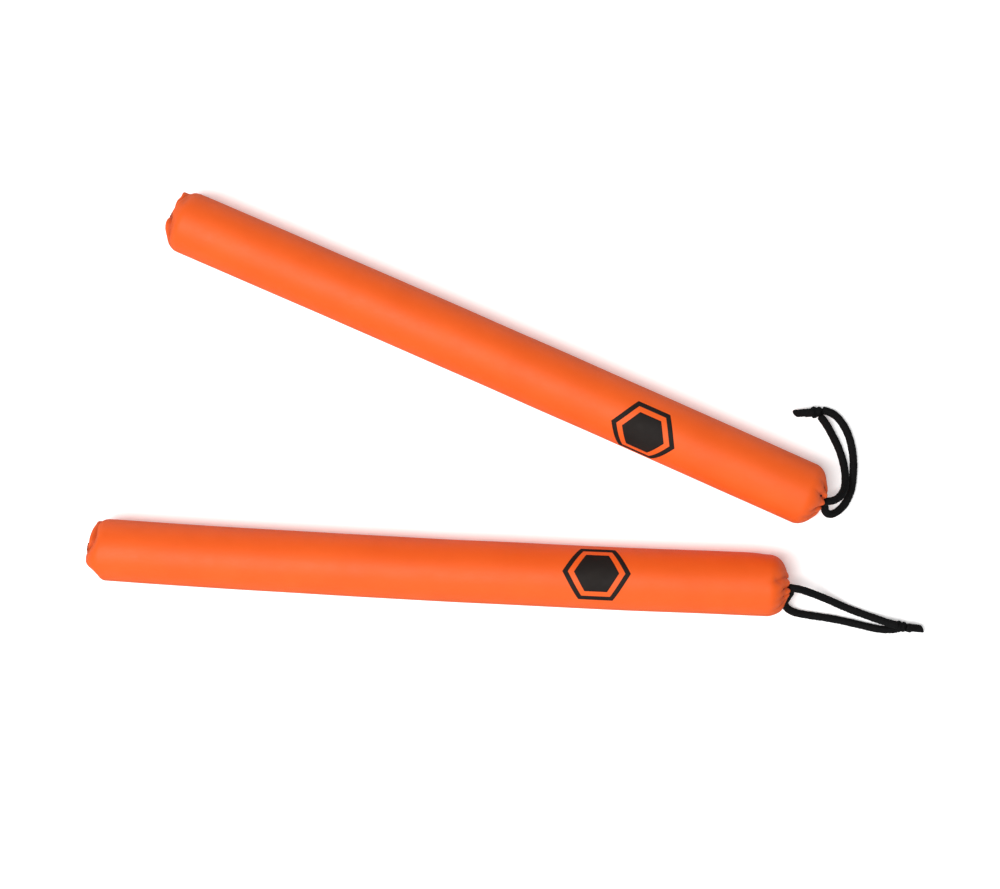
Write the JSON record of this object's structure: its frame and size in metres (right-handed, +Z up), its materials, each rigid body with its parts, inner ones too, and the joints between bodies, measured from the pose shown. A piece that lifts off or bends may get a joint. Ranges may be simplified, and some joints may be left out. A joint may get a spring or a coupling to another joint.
{
  "type": "focus training sticks",
  "caption": "Padded martial arts training sticks with smooth synthetic leather covers, foam round a stiff core tube, pleated tips, and corded wrist loops at the butts.",
  "frame": {"origin": "on the floor, under the middle of the box round the two sticks, wrist loops apart", "axes": "+X along the first stick from its tip to its butt, +Y from the first stick towards the second, +Z up"},
  "size_m": [0.719, 0.3483, 0.0531],
  "materials": {
    "orange_synthetic_leather": "smooth matte polyurethane leather with a soft sheen",
    "black_print": "matte printed film",
    "black_braided_cord": "braided polyester",
    "padding_foam": "closed-cell foam",
    "core_plastic": "extruded tube",
    "plug_plastic": "moulded",
    "binding_thread": "waxed thread"
  },
  "bodies": {
    "stick_a": {"stick_a_cover": "orange_synthetic_leather", "stick_a_tip_gather_tie": "binding_thread", "stick_a_foam_sleeve": "padding_foam", "stick_a_foam_tip_pad": "padding_foam", "stick_a_foam_butt_pad": "padding_foam", "stick_a_core_tube": "core_plastic", "stick_a_core_plug_tip": "plug_plastic", "stick_a_core_plug_butt": "plug_plastic", "stick_a_drawstring": "black_braided_cord", "stick_a_print": "black_print"},
    "stick_b": {"stick_b_cover": "orange_synthetic_leather", "stick_b_tip_gather_tie": "binding_thread", "stick_b_foam_sleeve": "padding_foam", "stick_b_foam_tip_pad": "padding_foam", "stick_b_foam_butt_pad": "padding_foam", "stick_b_core_tube": "core_plastic", "stick_b_core_plug_tip": "plug_plastic", "stick_b_core_plug_butt": "plug_plastic", "stick_b_drawstring": "black_braided_cord", "stick_b_print": "black_print"},
    "loop_a": {"stick_a_cord_leg_1": "black_braided_cord", "stick_a_cord_leg_2": "black_braided_cord", "stick_a_cord_knot": "black_braided_cord", "stick_a_cord_tail_1": "black_braided_cord", "stick_a_cord_tail_2": "black_braided_cord"},
    "loop_b": {"stick_b_cord_leg_1": "black_braided_cord", "stick_b_cord_leg_2": "black_braided_cord", "stick_b_cord_knot": "black_braided_cord", "stick_b_cord_tail_1": "black_braided_cord", "stick_b_cord_tail_2": "black_braided_cord"}
  },
  "joints": [
    {"name": "stick_b_lift", "type": "slide", "parent": "stick_a", "child": "stick_b", "axis": [0, 0, 1], "range_m": [0, 0.3]},
    {"name": "loop_a_swing", "type": "hinge", "parent": "stick_a", "child": "loop_a", "pos_m": [0.2863, -0.14146, 0.0265], "axis": [0, 0, 1], "range_deg": [0, 60]},
    {"name": "loop_b_swing", "type": "hinge", "parent": "stick_b", "child": "loop_b", "pos_m": [0.31118, -0.06746, 0.0265], "axis": [0, 0, 1], "range_deg": [0, 30]}
  ]
}
